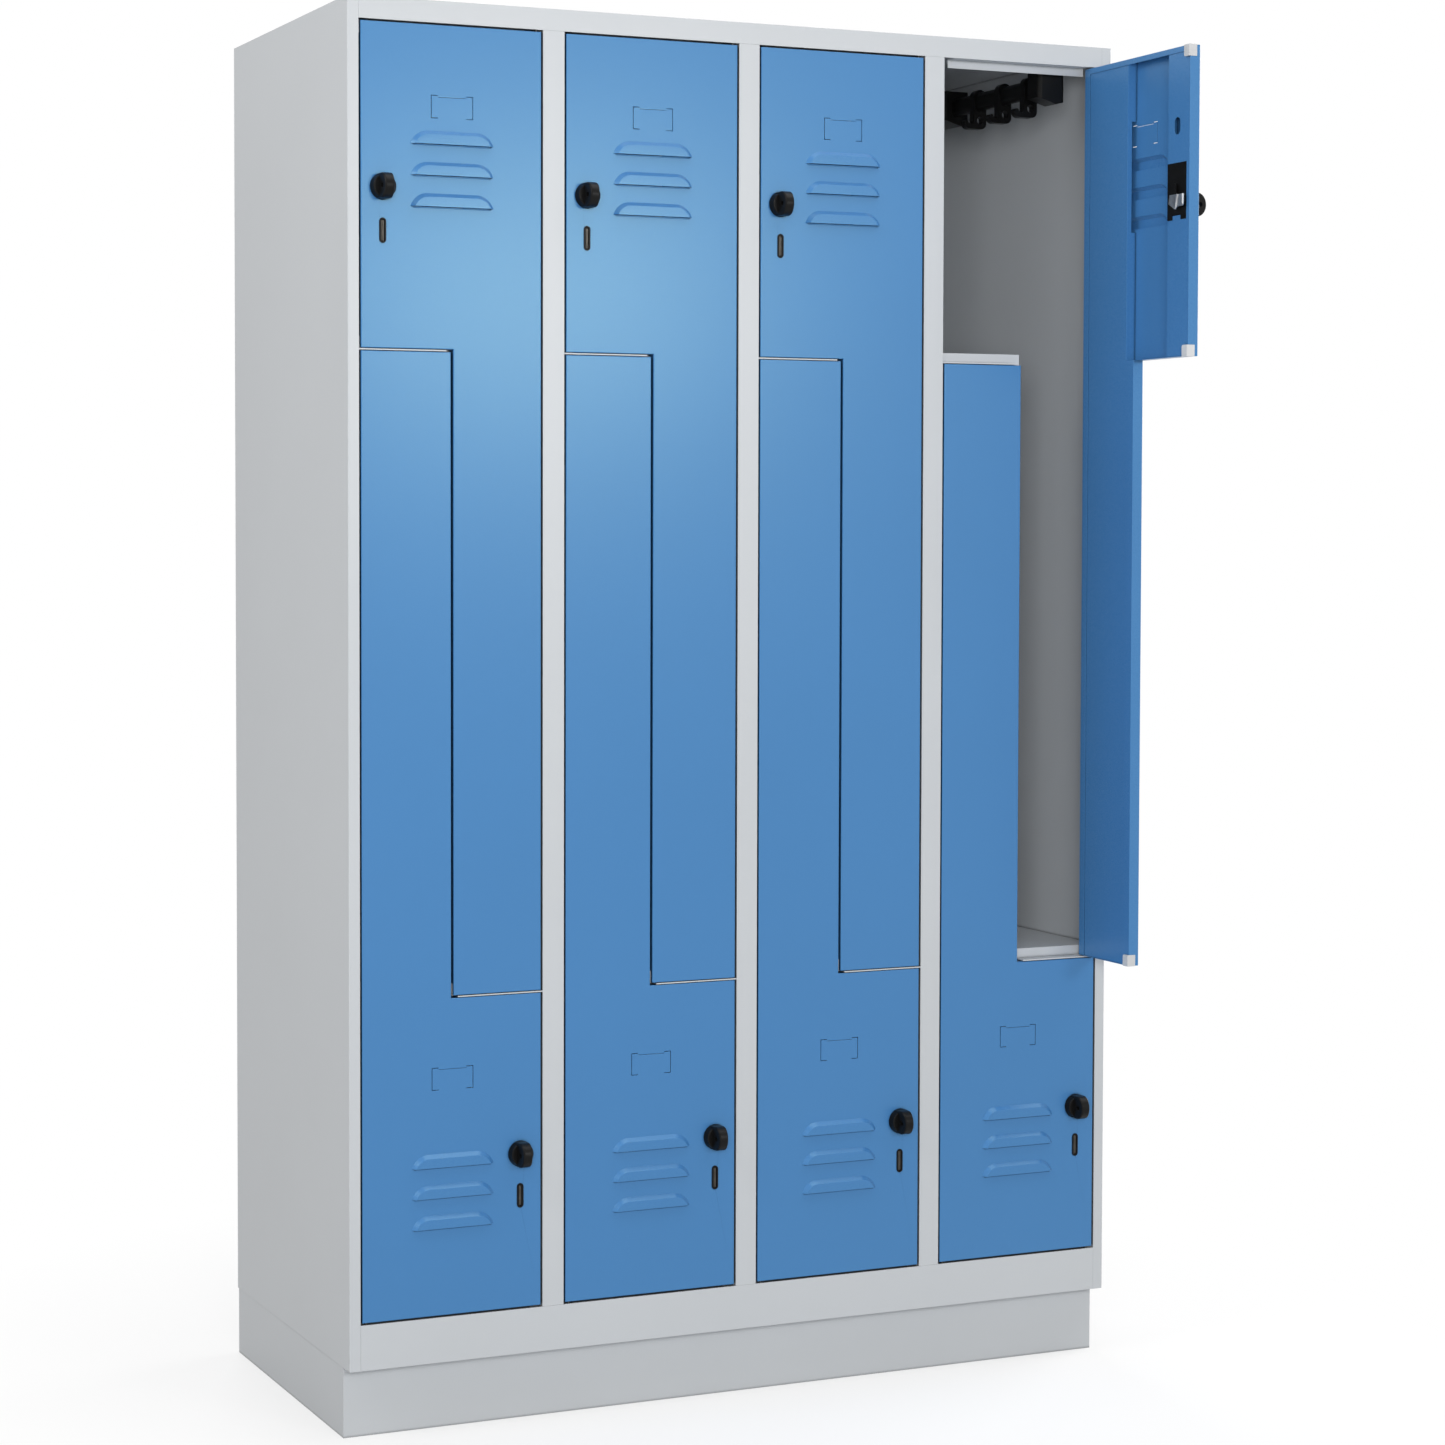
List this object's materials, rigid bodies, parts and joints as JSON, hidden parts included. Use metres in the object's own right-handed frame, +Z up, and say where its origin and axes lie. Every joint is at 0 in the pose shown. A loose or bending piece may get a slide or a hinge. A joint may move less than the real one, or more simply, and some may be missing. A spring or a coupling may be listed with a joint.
{
  "type": "z locker",
  "caption": "Steel cabinet of interlocking Z-shaped compartments: hinged L-shaped doors with turning lock knobs, coat rails with sliding hooks, on a recessed plinth.",
  "frame": {"origin": "middle of the body's footprint, on the floor, on the underside of the plinth's brace", "axes": "+X to the right as seen from the front, +Y from the front to the back, +Z up"},
  "size_m": [1.2097, 0.7523, 1.95],
  "materials": {
    "grey_powder_coat": "semi-matt light grey powder coat",
    "blue_powder_coat": "semi-matt blue powder coat",
    "black_plastic": "moulded black plastic",
    "grey_plastic": "soft light grey plastic",
    "zinc_steel": "bright zinc plate"
  },
  "bodies": {
    "cabinet": {"side_panels": "grey_powder_coat", "roof_panel": "grey_powder_coat", "rear_panel": "grey_powder_coat", "floor_panel": "grey_powder_coat", "front_frame": "grey_powder_coat", "column_dividers": "grey_powder_coat", "partition_shelves": "grey_powder_coat", "partition_walls": "grey_powder_coat", "partition_edges": "grey_powder_coat", "plinth": "grey_powder_coat", "hinge_pins": "zinc_steel", "strike_plates": "grey_powder_coat", "rail_brackets": "black_plastic", "coat_rails": "black_plastic"},
    "door_1_upper": {"door_1_upper_skin": "blue_powder_coat", "door_1_upper_stiffeners": "blue_powder_coat", "door_1_upper_lock": "black_plastic", "door_1_upper_buffers": "grey_plastic"},
    "door_1_upper_knob": {"door_1_upper_knob": "black_plastic"},
    "door_1_lower": {"door_1_lower_skin": "blue_powder_coat", "door_1_lower_stiffeners": "blue_powder_coat", "door_1_lower_lock": "black_plastic", "door_1_lower_buffers": "grey_plastic"},
    "door_1_lower_knob": {"door_1_lower_knob": "black_plastic"},
    "door_2_upper": {"door_2_upper_skin": "blue_powder_coat", "door_2_upper_stiffeners": "blue_powder_coat", "door_2_upper_lock": "black_plastic", "door_2_upper_buffers": "grey_plastic"},
    "door_2_upper_knob": {"door_2_upper_knob": "black_plastic"},
    "door_2_lower": {"door_2_lower_skin": "blue_powder_coat", "door_2_lower_stiffeners": "blue_powder_coat", "door_2_lower_lock": "black_plastic", "door_2_lower_buffers": "grey_plastic"},
    "door_2_lower_knob": {"door_2_lower_knob": "black_plastic"},
    "door_3_upper": {"door_3_upper_skin": "blue_powder_coat", "door_3_upper_stiffeners": "blue_powder_coat", "door_3_upper_lock": "black_plastic", "door_3_upper_buffers": "grey_plastic"},
    "door_3_upper_knob": {"door_3_upper_knob": "black_plastic"},
    "door_3_lower": {"door_3_lower_skin": "blue_powder_coat", "door_3_lower_stiffeners": "blue_powder_coat", "door_3_lower_lock": "black_plastic", "door_3_lower_buffers": "grey_plastic"},
    "door_3_lower_knob": {"door_3_lower_knob": "black_plastic"},
    "door_4_upper": {"door_4_upper_skin": "blue_powder_coat", "door_4_upper_stiffeners": "blue_powder_coat", "door_4_upper_lock": "black_plastic", "door_4_upper_buffers": "grey_plastic"},
    "door_4_upper_knob": {"door_4_upper_knob": "black_plastic", "door_4_upper_cam": "zinc_steel"},
    "door_4_lower": {"door_4_lower_skin": "blue_powder_coat", "door_4_lower_stiffeners": "blue_powder_coat", "door_4_lower_lock": "black_plastic", "door_4_lower_buffers": "grey_plastic"},
    "door_4_lower_knob": {"door_4_lower_knob": "black_plastic"},
    "front_hook": {"front_hook": "black_plastic"},
    "middle_hook": {"middle_hook": "black_plastic"},
    "rear_hook": {"rear_hook": "black_plastic"},
    "closed_upper_hooks": {"closed_upper_hooks": "black_plastic"},
    "closed_lower_hooks": {"closed_lower_hooks": "black_plastic"}
  },
  "joints": [
    {"name": "door_1_upper_hinge", "type": "hinge", "parent": "cabinet", "child": "door_1_upper", "pos_m": [-0.3251, -0.2455, 1], "axis": [0, 0, 1], "range_deg": [0, 110]},
    {"name": "door_1_upper_knob_turn", "type": "hinge", "parent": "door_1_upper", "child": "door_1_upper_knob", "pos_m": [-0.5502, -0.25, 1.6978], "axis": [0, -1, 0], "range_deg": [0, 90]},
    {"name": "door_1_lower_hinge", "type": "hinge", "parent": "cabinet", "child": "door_1_lower", "pos_m": [-0.5749, -0.2455, 1], "axis": [0, 0, 1], "range_deg": [-110, 0]},
    {"name": "door_1_lower_knob_turn", "type": "hinge", "parent": "door_1_lower", "child": "door_1_lower_knob", "pos_m": [-0.3498, -0.25, 0.3775], "axis": [0, 1, 0], "range_deg": [0, 90]},
    {"name": "door_2_upper_hinge", "type": "hinge", "parent": "cabinet", "child": "door_2_upper", "pos_m": [-0.0251, -0.2455, 1], "axis": [0, 0, 1], "range_deg": [0, 110]},
    {"name": "door_2_upper_knob_turn", "type": "hinge", "parent": "door_2_upper", "child": "door_2_upper_knob", "pos_m": [-0.2502, -0.25, 1.6978], "axis": [0, -1, 0], "range_deg": [0, 90]},
    {"name": "door_2_lower_hinge", "type": "hinge", "parent": "cabinet", "child": "door_2_lower", "pos_m": [-0.2749, -0.2455, 1], "axis": [0, 0, 1], "range_deg": [-110, 0]},
    {"name": "door_2_lower_knob_turn", "type": "hinge", "parent": "door_2_lower", "child": "door_2_lower_knob", "pos_m": [-0.0498, -0.25, 0.3775], "axis": [0, 1, 0], "range_deg": [0, 90]},
    {"name": "door_3_upper_hinge", "type": "hinge", "parent": "cabinet", "child": "door_3_upper", "pos_m": [0.2749, -0.2455, 1], "axis": [0, 0, 1], "range_deg": [0, 110]},
    {"name": "door_3_upper_knob_turn", "type": "hinge", "parent": "door_3_upper", "child": "door_3_upper_knob", "pos_m": [0.0498, -0.25, 1.6978], "axis": [0, -1, 0], "range_deg": [0, 90]},
    {"name": "door_3_lower_hinge", "type": "hinge", "parent": "cabinet", "child": "door_3_lower", "pos_m": [0.0251, -0.2455, 1], "axis": [0, 0, 1], "range_deg": [-110, 0]},
    {"name": "door_3_lower_knob_turn", "type": "hinge", "parent": "door_3_lower", "child": "door_3_lower_knob", "pos_m": [0.2502, -0.25, 0.3775], "axis": [0, 1, 0], "range_deg": [0, 90]},
    {"name": "door_4_upper_hinge", "type": "hinge", "parent": "cabinet", "child": "door_4_upper", "pos_m": [0.5749, -0.2455, 1], "axis": [0, 0, 1], "range_deg": [-90, 20]},
    {"name": "door_4_upper_knob_turn", "type": "hinge", "parent": "door_4_upper", "child": "door_4_upper_knob", "pos_m": [0.5794, -0.4706, 1.6978], "axis": [1, 0, 0], "range_deg": [0, 90]},
    {"name": "door_4_lower_hinge", "type": "hinge", "parent": "cabinet", "child": "door_4_lower", "pos_m": [0.3251, -0.2455, 1], "axis": [0, 0, 1], "range_deg": [-110, 0]},
    {"name": "door_4_lower_knob_turn", "type": "hinge", "parent": "door_4_lower", "child": "door_4_lower_knob", "pos_m": [0.5502, -0.25, 0.3775], "axis": [0, 1, 0], "range_deg": [0, 90]},
    {"name": "front_hook_slide", "type": "slide", "parent": "cabinet", "child": "front_hook", "axis": [0, 1, 0], "range_m": [-0.0265, 0.0575]},
    {"name": "middle_hook_slide", "type": "slide", "parent": "cabinet", "child": "middle_hook", "axis": [0, 1, 0], "range_m": [-0.0575, 0.0575]},
    {"name": "rear_hook_slide", "type": "slide", "parent": "cabinet", "child": "rear_hook", "axis": [0, 1, 0], "range_m": [-0.0575, 0.0555]},
    {"name": "closed_upper_hooks_slide", "type": "slide", "parent": "cabinet", "child": "closed_upper_hooks", "axis": [0, 1, 0], "range_m": [-0.0265, 0.0555]},
    {"name": "closed_lower_hooks_slide", "type": "slide", "parent": "cabinet", "child": "closed_lower_hooks", "axis": [0, 1, 0], "range_m": [-0.0265, 0.0555]}
  ]
}
